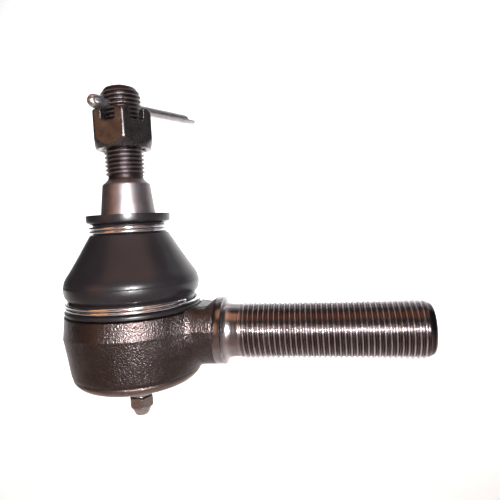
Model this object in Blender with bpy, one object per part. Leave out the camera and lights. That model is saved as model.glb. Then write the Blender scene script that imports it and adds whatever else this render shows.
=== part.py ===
"""Tie rod end: a forged socket with a threaded shank, a tapered ball stud, and its sealing parts.

Frame: the origin is the centre of the ball, +Z runs up the stud and +X along the threaded shank.
Sizes are in metres. Threads are plain cylinders of their major diameter.
"""

import math

import bmesh
import bpy
from mathutils import Matrix, Vector

MM = 0.001
SEGMENTS = 36
SMALL_SEGMENTS = 16
NUT_ROUNDING_SEGMENTS = 46
GAP = 0.3 * MM

# Ball stud
BALL_R = 12.0 * MM
BALL_FLAT_Z = -10.8 * MM
STUD_NECK_R = 6.0 * MM
STUD_NECK_TOP_Z = 19.0 * MM
TAPER_BOTTOM_Z = 29.0 * MM
TAPER_BOTTOM_R = 9.05 * MM
TAPER_TOP_Z = 45.6 * MM
TAPER_TOP_R = 7.1 * MM
STUD_RELIEF_R = 5.3 * MM
STUD_THREAD_R = 6.0 * MM
STUD_THREAD_Z = 48.2 * MM
STUD_TOP_Z = 75.6 * MM
STUD_TOP_EDGE_R = 4.6 * MM
STUD_THREAD_TOP_Z = 72.4 * MM

# Castle nut and cotter pin
NUT_FLATS = 17.0 * MM
NUT_BOTTOM_Z = 55.9 * MM
NUT_TOP_Z = 67.2 * MM
NUT_CHAMFER = 1.5 * MM
NUT_SLOT_WIDTH = 4.2 * MM
NUT_SLOT_DEPTH = 3.6 * MM
NUT_TURN = math.radians(-61.5)
PIN_Z = 69.1 * MM
PIN_R = 1.42 * MM
PIN_SPLIT = 0.08 * MM
PIN_EYE_RISE = 0.65 * MM
PIN_EYE_X = -9.05 * MM
PIN_EYE_START_X = -6.4 * MM
PIN_LONG_LEG = 30.0 * MM
PIN_SHORT_LEG = 26.8 * MM
PIN_HOLE_R = 1.8 * MM
PIN_TURN = math.radians(61.0)

# Socket housing
SOCKET_R = 21.35 * MM
SOCKET_SHOULDER_Z = 7.2 * MM
SOCKET_SHOULDER_R = 20.6 * MM
SOCKET_FOOT_Z = -11.2 * MM
SOCKET_FOOT_R = 19.75 * MM
ROLLED_LIP_Z = -14.6 * MM
ROLLED_LIP_R = 14.2 * MM
BOOT_SEAT_R = 17.6 * MM
BOOT_ROOM_R = 21.0 * MM
MOUTH_Z = 12.6 * MM
MOUTH_R = 14.4 * MM
THROAT_Z = 7.0 * MM
THROAT_R = 11.3 * MM
BORE_R = 15.2 * MM
COUNTERBORE_R = 16.2 * MM
COUNTERBORE_Z = -10.4 * MM
LIP_INNER_Z = -12.9 * MM
WEB_STATIONS = (
    (12.0 * MM, 14.6 * MM),
    (18.6 * MM, 12.4 * MM),
    (20.6 * MM, 10.9 * MM),
    (24.2 * MM, 9.6 * MM),
)
NECK_R = 10.1 * MM
NECK_FLAT_Z = 8.0 * MM
NECK_FLAT_START_X = 9.0 * MM
NECK_FLAT_END_X = 24.4 * MM
COLLAR_X = 28.8 * MM
SHANK_ROOT_X = 31.3 * MM
SHANK_ROOT_R = 7.9 * MM
SHANK_THREAD_X = 33.4 * MM
SHANK_R = 8.5 * MM
SHANK_CHAMFER_X = 85.4 * MM
SHANK_END_X = 88.0 * MM
SHANK_END_R = 7.1 * MM

# Bearing seats, preload spring and end cover
SEAT_SPHERE_R = BALL_R + GAP
SEAT_OUTER_R = BORE_R - GAP
UPPER_SEAT_TOP_Z = 6.6 * MM
UPPER_SEAT_MOUTH_Z = 6.2 * MM
SEAT_SPLIT_Z = -0.2 * MM
LOWER_SEAT_TOP_Z = -0.6 * MM
LOWER_SEAT_SIDE_Z = -6.9 * MM
LOWER_SEAT_FOOT_Z = -12.7 * MM
LOWER_SEAT_FOOT_R = 9.4 * MM
LOWER_SEAT_HOLE_R = 4.1 * MM
PLATE_TOP_Z = LOWER_SEAT_FOOT_Z - GAP
PLATE_THICK = 0.9 * MM
PLATE_R = 8.6 * MM
PLATE_HOLE_R = 2.5 * MM
SPRING_WIRE_R = 0.45 * MM
SPRING_TOP_Z = -14.65 * MM
SPRING_FOOT_Z = -15.6 * MM
SPRING_TOP_R = 7.3 * MM
SPRING_FOOT_R = 5.0 * MM
SPRING_TURNS = 2.0
COVER_RIM_R = COUNTERBORE_R - GAP
COVER_RIM_Z = -10.7 * MM
COVER_DOME_Z = -18.2 * MM
COVER_WALL = 1.9 * MM
COVER_FLAT_R = 6.4 * MM
COVER_RIM_INNER_R = 13.0 * MM
COVER_BOSS_R = 4.0 * MM
COVER_BOSS_Z = -20.2 * MM
SEAL_R = 14.2 * MM
SEAL_SECTION_R = 0.55 * MM
SEAL_Z = -9.8 * MM

# Grease nipple
NIPPLE_STEM_R = 2.7 * MM
NIPPLE_STEM_TOP_Z = -16.8 * MM
NIPPLE_HEX_TOP_Z = -20.8 * MM
NIPPLE_HEX_FOOT_Z = -24.3 * MM
NIPPLE_FLATS = 7.0 * MM
NIPPLE_CONE_R = 3.2 * MM
NIPPLE_TIP_R = 2.15 * MM
NIPPLE_TIP_Z = -27.0 * MM
NIPPLE_CHAMBER_R = 1.55 * MM
NIPPLE_SEAT_TOP_Z = -25.3 * MM
NIPPLE_SEAT_FOOT_Z = -26.2 * MM
NIPPLE_PORT_R = 0.8 * MM
CHECK_BALL_R = 1.2 * MM
CHECK_BALL_Z = -24.85 * MM
CHECK_SPRING_R = 1.0 * MM
CHECK_SPRING_WIRE_R = 0.14 * MM
CHECK_SPRING_TOP_Z = -17.6 * MM
CHECK_SPRING_FOOT_Z = -23.2 * MM
CHECK_SPRING_TURNS = 6.0

# Dust boot and its wire rings
LIP_TOP_Z = 36.4 * MM
LIP_FOOT_Z = 34.0 * MM
LIP_R = 12.6 * MM
BOOT_NECK_R = 10.7 * MM
BOOT_NECK_FOOT_Z = 30.7 * MM
BOOT_BORE_R = 9.2 * MM
BOOT_LIP_BORE_R = 8.6 * MM
BOOT_BULGE_R = 20.35 * MM
BOOT_BULGE_Z = 15.8 * MM
BOOT_GROOVE_TOP_Z = 11.4 * MM
BOOT_GROOVE_FOOT_Z = 8.8 * MM
BOOT_GROOVE_R = 18.95 * MM
BOOT_BAND_R = 20.5 * MM
BOOT_FOOT_Z = 7.5 * MM
BOOT_WALL = 1.6 * MM
RING_WIRE_R = 0.5 * MM
RING_PITCH = 1.08 * MM
RING_STEP = math.radians(24.0)
LOWER_RING_R = 19.75 * MM
LOWER_RING_Z = 9.5 * MM
LOWER_RING_TURNS = 1.5
LOWER_RING_END = math.radians(-19.0)
UPPER_RING_R = 11.5 * MM
UPPER_RING_Z = 31.4 * MM
UPPER_RING_TURNS = 1.7
UPPER_RING_END = math.radians(60.0)

MATERIALS = {
    "forged_steel": ((0.115, 0.095, 0.09), 0.50, 1.0),
    "ground_steel": ((0.30, 0.26, 0.26), 0.28, 1.0),
    "black_oxide": ((0.035, 0.032, 0.032), 0.35, 1.0),
    "zinc_plate": ((0.62, 0.62, 0.62), 0.25, 1.0),
    "ring_wire": ((0.55, 0.55, 0.57), 0.22, 1.0),
    "spring_steel": ((0.20, 0.20, 0.21), 0.35, 1.0),
    "black_rubber": ((0.018, 0.018, 0.020), 0.38, 0.0),
    "seat_nylon": ((0.70, 0.68, 0.60), 0.45, 0.0),
    "cover_steel": ((0.22, 0.20, 0.19), 0.42, 1.0),
    "nipple_steel": ((0.34, 0.31, 0.28), 0.32, 1.0),
}


def clear_scene():
    for obj in list(bpy.data.objects):
        bpy.data.objects.remove(obj, do_unlink=True)


def material(slot):
    colour, roughness, metallic = MATERIALS[slot]
    made = bpy.data.materials.get(slot) or bpy.data.materials.new(slot)
    made.use_nodes = True
    shader = made.node_tree.nodes["Principled BSDF"]
    shader.inputs["Base Color"].default_value = (*colour, 1.0)
    shader.inputs["Roughness"].default_value = roughness
    shader.inputs["Metallic"].default_value = metallic
    return made


def add_object(name, bm, slot=None):
    bmesh.ops.recalc_face_normals(bm, faces=bm.faces)
    mesh = bpy.data.meshes.new(name)
    bm.to_mesh(mesh)
    bm.free()
    obj = bpy.data.objects.new(name, mesh)
    bpy.context.scene.collection.objects.link(obj)
    if slot:
        mesh.materials.append(material(slot))
        mesh.shade_smooth()
        mesh.set_sharp_from_angle(angle=math.radians(35))
    return obj


def arc(centre_r, centre_z, radius, start_deg, end_deg, steps):
    """Points of a circle's arc in the (r, z) plane, from one angle to the other."""
    angles = [math.radians(start_deg + (end_deg - start_deg) * i / steps) for i in range(steps + 1)]
    return [(centre_r + radius * math.cos(a), centre_z + radius * math.sin(a)) for a in angles]


def eased(t):
    """Goes from 0 to 1 with a level start and end."""
    t = min(max(t, 0.0), 1.0)
    return t * t * (3 - 2 * t)


def turned_mesh(outline, segments=SEGMENTS):
    """Revolves (r, z) points round Z. An outline that doesn't end on the axis closes on itself."""
    bm = bmesh.new()
    verts = [bm.verts.new((r, 0.0, z)) for r, z in outline]
    edges = [bm.edges.new(pair) for pair in zip(verts, verts[1:])]
    if outline[0][0] > 0.0:
        edges.append(bm.edges.new((verts[-1], verts[0])))
    bmesh.ops.spin(
        bm,
        geom=verts + edges,
        axis=(0, 0, 1),
        cent=(0, 0, 0),
        steps=segments,
        angle=2 * math.pi,
        use_merge=True,
    )
    bmesh.ops.remove_doubles(bm, verts=bm.verts, dist=1e-7)
    bmesh.ops.dissolve_degenerate(bm, dist=1e-7, edges=bm.edges)
    return bm


def turned(name, outline, slot=None, segments=SEGMENTS):
    return add_object(name, turned_mesh(outline, segments), slot)


def lie_along_x(obj):
    """Turns a piece that was made round Z so that its +Z runs along +X."""
    obj.data.transform(Matrix.Rotation(math.pi / 2, 4, "Y"))
    return obj


def prism(name, outline, depth, slot=None):
    """A flat (x, z) outline, given depth each way from the XZ plane."""
    bm = bmesh.new()
    face = bm.faces.new([bm.verts.new((x, -depth, z)) for x, z in outline])
    extruded = bmesh.ops.extrude_face_region(bm, geom=[face])
    moved = [v for v in extruded["geom"] if isinstance(v, bmesh.types.BMVert)]
    bmesh.ops.translate(bm, vec=(0, 2 * depth, 0), verts=moved)
    return add_object(name, bm, slot)


def hexagon(name, flats, bottom_z, top_z, slot=None):
    """A hexagonal bar with corners at 0, 60 and 120 degrees, so a flat faces +Y."""
    corner = flats / math.sqrt(3)
    bm = bmesh.new()
    angles = [math.radians(60 * i) for i in range(6)]
    ring = [(corner * math.cos(a), corner * math.sin(a)) for a in angles]
    face = bm.faces.new([bm.verts.new((x, y, bottom_z)) for x, y in ring])
    extruded = bmesh.ops.extrude_face_region(bm, geom=[face])
    moved = [v for v in extruded["geom"] if isinstance(v, bmesh.types.BMVert)]
    bmesh.ops.translate(bm, vec=(0, 0, top_z - bottom_z), verts=moved)
    return add_object(name, bm, slot)


def combine(obj, other, operation):
    """Adds, cuts or keeps a helper's volume with a Boolean, and hides the helper."""
    modifier = obj.modifiers.new(f"{operation.lower()}_{other.name}", "BOOLEAN")
    modifier.operation = operation
    modifier.solver = "EXACT"
    modifier.object = other
    other.hide_render = True
    other.display_type = "WIRE"


def swept(name, path, section_at, slot):
    """Joins the section rings that section_at gives along a path into one tube."""
    bm = bmesh.new()
    rings = [[bm.verts.new(p) for p in section_at(i, path)] for i in range(len(path))]
    for first, second in zip(rings, rings[1:]):
        for i in range(len(first)):
            j = (i + 1) % len(first)
            bm.faces.new((first[i], first[j], second[j], second[i]))
    bm.faces.new(rings[0])
    bm.faces.new(list(reversed(rings[-1])))
    return add_object(name, bm, slot)


def round_section(radius, sides):
    """A section function for a round wire that winds round Z."""

    def section(i, path):
        here = Vector(path[i])
        ahead = Vector(path[min(i + 1, len(path) - 1)]) - Vector(path[max(i - 1, 0)])
        outward = Vector((here.x, here.y, 0)).normalized()
        along = ahead.normalized()
        outward = (outward - outward.dot(along) * along).normalized()
        upward = along.cross(outward)
        angles = [2 * math.pi * k / sides for k in range(sides)]
        return [here + radius * (math.cos(a) * outward + math.sin(a) * upward) for a in angles]

    return section


def coil(name, radii, heights, turns, wire_r, per_turn, sides):
    """A spring's wire coil, whose radius and height go evenly from the first value to the second."""
    steps = round(turns * per_turn)
    path = []
    for i in range(steps + 1):
        t = i / steps
        angle = 2 * math.pi * turns * t
        radius = radii[0] + (radii[1] - radii[0]) * t
        height = heights[0] + (heights[1] - heights[0]) * t
        path.append((radius * math.cos(angle), radius * math.sin(angle), height))
    swept(name, path, round_section(wire_r, sides), "spring_steel")


def wire_ring(name, radius, foot_z, turns, end_angle):
    """A flat wire ring of under two turns: its wire steps up by one pitch just before it meets its own start."""
    steps = round(turns * SEGMENTS)
    sweep = 2 * math.pi * turns
    path = []
    for i in range(steps + 1):
        wound = sweep * i / steps
        angle = end_angle - sweep + wound
        climb = eased((wound - 2 * math.pi + RING_STEP) / RING_STEP)
        path.append((radius * math.cos(angle), radius * math.sin(angle), foot_z + RING_PITCH * climb))
    swept(name, path, round_section(RING_WIRE_R, 6), "ring_wire")


def socket_outline():
    """The forging's outside: widest at the parting line in the shank's plane, with draft each way."""
    return [
        (0.0, MOUTH_Z),
        (BOOT_SEAT_R - 0.5 * MM, MOUTH_Z),
        (BOOT_SEAT_R, MOUTH_Z - 0.5 * MM),
        (BOOT_SEAT_R, SOCKET_SHOULDER_Z),
        (SOCKET_SHOULDER_R, SOCKET_SHOULDER_Z),
        (SOCKET_R, 0.0),
        (SOCKET_FOOT_R, SOCKET_FOOT_Z),
        *arc(SOCKET_FOOT_R - 3.4 * MM, SOCKET_FOOT_Z, 3.4 * MM, -12, -72, 4),
        (ROLLED_LIP_R + 1.6 * MM, ROLLED_LIP_Z),
        (0.0, ROLLED_LIP_Z),
    ]


def socket_cavity_outline():
    over = 1 * MM
    return [
        (0.0, MOUTH_Z + over),
        (MOUTH_R + over * (MOUTH_R - THROAT_R) / (MOUTH_Z - THROAT_Z), MOUTH_Z + over),
        (THROAT_R, THROAT_Z),
        (BORE_R, THROAT_Z),
        (BORE_R, COUNTERBORE_Z),
        (COUNTERBORE_R, COUNTERBORE_Z),
        (COUNTERBORE_R, LIP_INNER_Z),
        (ROLLED_LIP_R, LIP_INNER_Z),
        (ROLLED_LIP_R, ROLLED_LIP_Z - over),
        (0.0, ROLLED_LIP_Z - over),
    ]


def shank_outline():
    """Neck, machined collar, thread and end chamfer, as radii along the shank's axis."""
    drop = NECK_R - SHANK_ROOT_R
    run = SHANK_ROOT_X - COLLAR_X
    hollow = []
    for i in range(1, 5):
        a = math.pi / 2 * i / 4
        hollow.append((NECK_R - drop * math.sin(a), COLLAR_X + run * (1 - math.cos(a))))
    return [
        (0.0, 0.5 * SOCKET_R),
        (NECK_R, 0.5 * SOCKET_R),
        (NECK_R, COLLAR_X),
        *hollow,
        (SHANK_ROOT_R, SHANK_THREAD_X - 0.6 * MM),
        (SHANK_R, SHANK_THREAD_X),
        (SHANK_R, SHANK_CHAMFER_X),
        (SHANK_END_R, SHANK_END_X - 0.3 * MM),
        (SHANK_END_R - 0.3 * MM, SHANK_END_X),
        (0.0, SHANK_END_X),
    ]


def make_housing():
    housing = turned("socket_housing", socket_outline(), "forged_steel")
    shank = lie_along_x(turned("shank_form", shank_outline()))
    web_outline = [(0.0, WEB_STATIONS[0][0])]
    web_outline += [(radius, x) for x, radius in WEB_STATIONS]
    web_outline.append((0.0, WEB_STATIONS[-1][0]))
    web = lie_along_x(turned("web_form", web_outline))
    ramp = NECK_R - NECK_FLAT_Z + 4 * MM
    flat = prism(
        "neck_flat_cut",
        [
            (NECK_FLAT_START_X, NECK_FLAT_Z),
            (NECK_FLAT_END_X, NECK_FLAT_Z),
            (NECK_FLAT_END_X + ramp, NECK_FLAT_Z + ramp),
            (NECK_FLAT_START_X, NECK_FLAT_Z + 2 * ramp),
        ],
        1.5 * NECK_R,
    )
    boot_room = turned(
        "boot_room_cut",
        [
            (BOOT_SEAT_R, SOCKET_SHOULDER_Z),
            (BOOT_ROOM_R, SOCKET_SHOULDER_Z),
            (BOOT_ROOM_R, MOUTH_Z + 4 * MM),
            (BOOT_SEAT_R, MOUTH_Z + 4 * MM),
        ],
    )
    cavity = turned("cavity_cut", socket_cavity_outline())
    combine(web, flat, "DIFFERENCE")
    combine(shank, flat, "DIFFERENCE")
    combine(housing, web, "UNION")
    combine(housing, shank, "UNION")
    combine(housing, boot_room, "DIFFERENCE")
    combine(housing, cavity, "DIFFERENCE")


def make_stud(pivot):
    ball_top = math.degrees(math.acos((STUD_NECK_R + 0.5 * MM) / BALL_R))
    ball_foot = math.degrees(math.asin(BALL_FLAT_Z / BALL_R))
    swell = TAPER_BOTTOM_R - STUD_NECK_R
    rise = TAPER_BOTTOM_Z - STUD_NECK_TOP_Z
    flare = []
    for i in range(6):
        t = i / 5
        flare.append((STUD_NECK_R + swell * eased(t), STUD_NECK_TOP_Z + rise * t))
    stud = turned(
        "ball_stud",
        [
            (0.0, BALL_FLAT_Z),
            *arc(0.0, 0.0, BALL_R, ball_foot, ball_top, 14),
            (STUD_NECK_R, BALL_R - 0.4 * MM),
            *flare,
            (TAPER_TOP_R, TAPER_TOP_Z),
            (STUD_RELIEF_R, TAPER_TOP_Z + 1.5 * MM),
            (STUD_RELIEF_R, STUD_THREAD_Z - 0.3 * MM),
            (STUD_THREAD_R, STUD_THREAD_Z),
            (STUD_THREAD_R, STUD_THREAD_TOP_Z),
            (STUD_THREAD_R - 0.7 * MM, STUD_THREAD_TOP_Z + 0.8 * MM),
            (STUD_TOP_EDGE_R, STUD_TOP_Z - 1.2 * MM),
            (STUD_TOP_EDGE_R / 2, STUD_TOP_Z - 0.2 * MM),
            (0.0, STUD_TOP_Z),
        ],
        "ground_steel",
    )
    hole = turned(
        "pin_hole_cut",
        [(0.0, -10 * MM), (PIN_HOLE_R, -10 * MM), (PIN_HOLE_R, 10 * MM), (0.0, 10 * MM)],
        segments=SMALL_SEGMENTS,
    )
    lie_along_x(hole)
    hole.location.z = PIN_Z
    hole.rotation_euler.z = PIN_TURN
    combine(stud, hole, "DIFFERENCE")
    stud.parent = pivot


def make_nut(pivot):
    height = NUT_TOP_Z - NUT_BOTTOM_Z
    corner = NUT_FLATS / math.sqrt(3)
    nut = hexagon("castle_nut", NUT_FLATS, 0.0, height, "black_oxide")
    rounding = turned(
        "nut_rounding",
        [
            (0.0, 0.0),
            (corner - NUT_CHAMFER, 0.0),
            (corner, NUT_CHAMFER * 1.3),
            (corner, height - NUT_CHAMFER * 0.6),
            (corner - NUT_CHAMFER, height),
            (0.0, height),
        ],
        segments=NUT_ROUNDING_SEGMENTS,
    )
    bore = turned(
        "nut_bore",
        [
            (0.0, -MM),
            (STUD_THREAD_R + GAP, -MM),
            (STUD_THREAD_R + GAP, height + MM),
            (0.0, height + MM),
        ],
    )
    combine(nut, rounding, "INTERSECT")
    combine(nut, bore, "DIFFERENCE")
    half = NUT_SLOT_WIDTH / 2
    floor = height - NUT_SLOT_DEPTH
    for i in range(3):
        slot = prism(
            f"nut_slot_{i}",
            [(-half, floor), (half, floor), (half, height + MM), (-half, height + MM)],
            NUT_FLATS,
        )
        slot.rotation_euler.z = math.radians(60 * i)
        slot.parent = nut
        combine(nut, slot, "DIFFERENCE")
    for helper in (rounding, bore):
        helper.parent = nut
    nut.location.z = NUT_BOTTOM_Z
    nut.rotation_euler.z = NUT_TURN
    nut.parent = pivot


def pin_path():
    """The flat inner side of the folded wire: short leg, eye, long leg, in the pin's own XZ plane."""
    path = [(PIN_SHORT_LEG, PIN_SPLIT)]
    for i in range(5):
        t = i / 4
        x = PIN_EYE_START_X + (PIN_EYE_X - PIN_EYE_START_X) * t
        path.append((x, PIN_SPLIT + (PIN_EYE_RISE - PIN_SPLIT) * eased(t)))
    half_turn = arc(PIN_EYE_X, 0.0, PIN_EYE_RISE, 90, 270, 8)
    upper = path + half_turn[1:-1]
    lower = [(x, -z) for x, z in reversed(path)]
    lower[-1] = (PIN_LONG_LEG, -PIN_SPLIT)
    return [(x, 0.0, z) for x, z in upper + lower]


def half_round_section(i, path):
    """Half a disc standing on the path, on the outer side of the fold."""
    here = Vector(path[i])
    along = (Vector(path[min(i + 1, len(path) - 1)]) - Vector(path[max(i - 1, 0)])).normalized()
    side = Vector((0, 1, 0))
    outward = side.cross(along)
    angles = [math.pi * k / 7 for k in range(8)]
    return [here + PIN_R * (math.cos(a) * side + math.sin(a) * outward) for a in angles]


def make_cotter_pin(pivot):
    pin = swept("cotter_pin", pin_path(), half_round_section, "zinc_plate")
    pin.location.z = PIN_Z
    pin.rotation_euler.z = PIN_TURN
    pin.parent = pivot


def make_seats():
    mouth = math.degrees(math.asin(UPPER_SEAT_MOUTH_Z / SEAT_SPHERE_R))
    split = math.degrees(math.asin(SEAT_SPLIT_Z / SEAT_SPHERE_R))
    turned(
        "upper_ball_seat",
        [
            *arc(0.0, 0.0, SEAT_SPHERE_R, split, mouth, 6),
            (THROAT_R - 0.4 * MM, UPPER_SEAT_TOP_Z),
            (SEAT_OUTER_R, UPPER_SEAT_TOP_Z),
            (SEAT_OUTER_R, SEAT_SPLIT_Z),
        ],
        "seat_nylon",
    )
    rim = math.degrees(math.asin(LOWER_SEAT_TOP_Z / SEAT_SPHERE_R))
    hole = -math.degrees(math.acos(LOWER_SEAT_HOLE_R / SEAT_SPHERE_R))
    turned(
        "lower_ball_seat",
        [
            *arc(0.0, 0.0, SEAT_SPHERE_R, rim, hole, 8),
            (LOWER_SEAT_HOLE_R, LOWER_SEAT_FOOT_Z),
            (LOWER_SEAT_FOOT_R, LOWER_SEAT_FOOT_Z),
            (SEAT_OUTER_R, LOWER_SEAT_SIDE_Z),
            (SEAT_OUTER_R, LOWER_SEAT_TOP_Z),
        ],
        "seat_nylon",
    )
    turned(
        "pressure_plate",
        [
            (PLATE_HOLE_R, PLATE_TOP_Z),
            (PLATE_R, PLATE_TOP_Z),
            (PLATE_R, PLATE_TOP_Z - PLATE_THICK),
            (PLATE_HOLE_R, PLATE_TOP_Z - PLATE_THICK),
        ],
        "spring_steel",
    )
    coil(
        "preload_spring",
        (SPRING_TOP_R, SPRING_FOOT_R),
        (SPRING_TOP_Z, SPRING_FOOT_Z),
        SPRING_TURNS,
        SPRING_WIRE_R,
        per_turn=24,
        sides=6,
    )


def make_end_cover():
    dome_inner_z = COVER_DOME_Z + COVER_WALL
    flange_foot_z = LIP_INNER_Z + GAP
    turned(
        "end_cover",
        [
            (COVER_RIM_R, COVER_RIM_Z),
            (COVER_RIM_INNER_R, COVER_RIM_Z),
            (COVER_RIM_INNER_R - 2.4 * MM, flange_foot_z - 1.3 * MM),
            (COVER_FLAT_R + 1.6 * MM, dome_inner_z + 0.7 * MM),
            (COVER_FLAT_R, dome_inner_z),
            (NIPPLE_STEM_R + GAP, dome_inner_z),
            (NIPPLE_STEM_R + GAP, COVER_BOSS_Z),
            (COVER_BOSS_R - 0.3 * MM, COVER_BOSS_Z),
            (COVER_BOSS_R, COVER_BOSS_Z + 0.3 * MM),
            (COVER_BOSS_R, COVER_DOME_Z),
            (COVER_FLAT_R, COVER_DOME_Z),
            (COVER_FLAT_R + 2.6 * MM, COVER_DOME_Z + 1.2 * MM),
            (ROLLED_LIP_R - 1.8 * MM, flange_foot_z - 2.0 * MM),
            (ROLLED_LIP_R - 0.5 * MM, flange_foot_z),
            (COVER_RIM_R, flange_foot_z),
        ],
        "cover_steel",
    )
    turned("cover_seal", arc(SEAL_R, SEAL_Z, SEAL_SECTION_R, 0, 300, 5), "black_rubber")


def make_nipple():
    hexed = hexagon("grease_nipple", NIPPLE_FLATS, NIPPLE_HEX_FOOT_Z, NIPPLE_HEX_TOP_Z, "nipple_steel")
    corner = NIPPLE_FLATS / math.sqrt(3)
    rounding = turned(
        "nipple_rounding",
        [
            (0.0, NIPPLE_HEX_TOP_Z),
            (corner - 0.6 * MM, NIPPLE_HEX_TOP_Z),
            (corner, NIPPLE_HEX_TOP_Z - 0.4 * MM),
            (corner, NIPPLE_HEX_FOOT_Z + 0.8 * MM),
            (corner - 0.8 * MM, NIPPLE_HEX_FOOT_Z),
            (0.0, NIPPLE_HEX_FOOT_Z),
        ],
    )
    core = turned(
        "nipple_core",
        [
            (0.0, NIPPLE_STEM_TOP_Z),
            (NIPPLE_STEM_R - 0.3 * MM, NIPPLE_STEM_TOP_Z),
            (NIPPLE_STEM_R, NIPPLE_STEM_TOP_Z - 0.3 * MM),
            (NIPPLE_STEM_R, NIPPLE_HEX_FOOT_Z + 0.4 * MM),
            (NIPPLE_CONE_R, NIPPLE_HEX_FOOT_Z + 0.2 * MM),
            (NIPPLE_CONE_R, NIPPLE_HEX_FOOT_Z - 0.3 * MM),
            (NIPPLE_TIP_R, NIPPLE_TIP_Z + 0.6 * MM),
            (NIPPLE_TIP_R - 0.65 * MM, NIPPLE_TIP_Z),
            (0.0, NIPPLE_TIP_Z),
        ],
        segments=24,
    )
    passage = turned(
        "nipple_passage",
        [
            (0.0, NIPPLE_STEM_TOP_Z + MM),
            (NIPPLE_CHAMBER_R, NIPPLE_STEM_TOP_Z + MM),
            (NIPPLE_CHAMBER_R, NIPPLE_SEAT_TOP_Z),
            (NIPPLE_PORT_R, NIPPLE_SEAT_FOOT_Z),
            (NIPPLE_PORT_R, NIPPLE_TIP_Z - MM),
            (0.0, NIPPLE_TIP_Z - MM),
        ],
        segments=SMALL_SEGMENTS,
    )
    combine(hexed, rounding, "INTERSECT")
    combine(hexed, core, "UNION")
    combine(hexed, passage, "DIFFERENCE")
    ball_points = arc(0.0, 0.0, CHECK_BALL_R, -90, 90, 6)
    ball_points[0] = (0.0, -CHECK_BALL_R)
    ball_points[-1] = (0.0, CHECK_BALL_R)
    ball = turned("nipple_check_ball", ball_points, "spring_steel", segments=12)
    ball.location.z = CHECK_BALL_Z
    coil(
        "nipple_spring",
        (CHECK_SPRING_R, CHECK_SPRING_R),
        (CHECK_SPRING_FOOT_Z, CHECK_SPRING_TOP_Z),
        CHECK_SPRING_TURNS,
        CHECK_SPRING_WIRE_R,
        per_turn=10,
        sides=4,
    )


def boot_outline():
    """Lip, ring groove, cone, bulge, lower groove and foot band, then back up the inside."""
    cone_top_r = BOOT_NECK_R + 1.1 * MM
    outside = [
        (BOOT_LIP_BORE_R, LIP_TOP_Z),
        (LIP_R - 0.4 * MM, LIP_TOP_Z),
        (LIP_R, LIP_TOP_Z - 0.5 * MM),
        (LIP_R - 0.2 * MM, LIP_FOOT_Z),
        (BOOT_NECK_R, LIP_FOOT_Z - 0.5 * MM),
        (BOOT_NECK_R, BOOT_NECK_FOOT_Z),
        (cone_top_r, BOOT_NECK_FOOT_Z - 0.3 * MM),
    ]
    cone_foot = (BOOT_BULGE_R - 1.0 * MM, BOOT_BULGE_Z + 2.7 * MM)
    steps = 6
    for i in range(1, steps + 1):
        t = i / steps
        sag = 0.55 * MM * math.sin(math.pi * t)
        r = cone_top_r + (cone_foot[0] - cone_top_r) * t - sag
        z = outside[6][1] + (cone_foot[1] - outside[6][1]) * t
        outside.append((r, z))
    outside += [
        (BOOT_BULGE_R - 0.2 * MM, BOOT_BULGE_Z + 1.3 * MM),
        (BOOT_BULGE_R, BOOT_BULGE_Z),
        (BOOT_BULGE_R - 0.15 * MM, BOOT_BULGE_Z - 1.8 * MM),
        (BOOT_BULGE_R - 0.8 * MM, BOOT_BULGE_Z - 3.6 * MM),
        (BOOT_GROOVE_R, BOOT_GROOVE_TOP_Z),
        (BOOT_GROOVE_R, BOOT_GROOVE_FOOT_Z),
        (BOOT_BAND_R, BOOT_GROOVE_FOOT_Z - 0.2 * MM),
        (BOOT_BAND_R, BOOT_FOOT_Z),
    ]
    inner_r = BOOT_SEAT_R + GAP
    inside = [
        (inner_r, BOOT_FOOT_Z),
        (inner_r, MOUTH_Z + GAP),
        (BOOT_BULGE_R - BOOT_WALL, BOOT_BULGE_Z - 0.8 * MM),
        (BOOT_BULGE_R - BOOT_WALL - 0.2 * MM, BOOT_BULGE_Z + 0.9 * MM),
    ]
    for r, z in reversed(outside[8:12]):
        inside.append((r - BOOT_WALL, z - 0.5 * BOOT_WALL))
    inside += [
        (BOOT_BORE_R, BOOT_NECK_FOOT_Z - 1.2 * MM),
        (BOOT_BORE_R, LIP_TOP_Z - 1.0 * MM),
        (BOOT_LIP_BORE_R, LIP_TOP_Z - 0.8 * MM),
    ]
    return outside + inside


def make_boot():
    turned("dust_boot", boot_outline(), "black_rubber")
    wire_ring("boot_lower_ring", LOWER_RING_R, LOWER_RING_Z, LOWER_RING_TURNS, LOWER_RING_END)
    wire_ring("boot_upper_ring", UPPER_RING_R, UPPER_RING_Z, UPPER_RING_TURNS, UPPER_RING_END)


def main():
    clear_scene()
    pivot = bpy.data.objects.new("stud_pivot", None)
    bpy.context.scene.collection.objects.link(pivot)
    make_housing()
    make_seats()
    make_end_cover()
    make_nipple()
    make_boot()
    make_stud(pivot)
    make_nut(pivot)
    make_cotter_pin(pivot)


main()
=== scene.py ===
"""Tie rod end: the looks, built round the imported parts. Sizes named in mm are turned to metres with MM."""

import math

import bmesh
import bpy
import numpy as np
from mathutils import Matrix, Vector, noise


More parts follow.
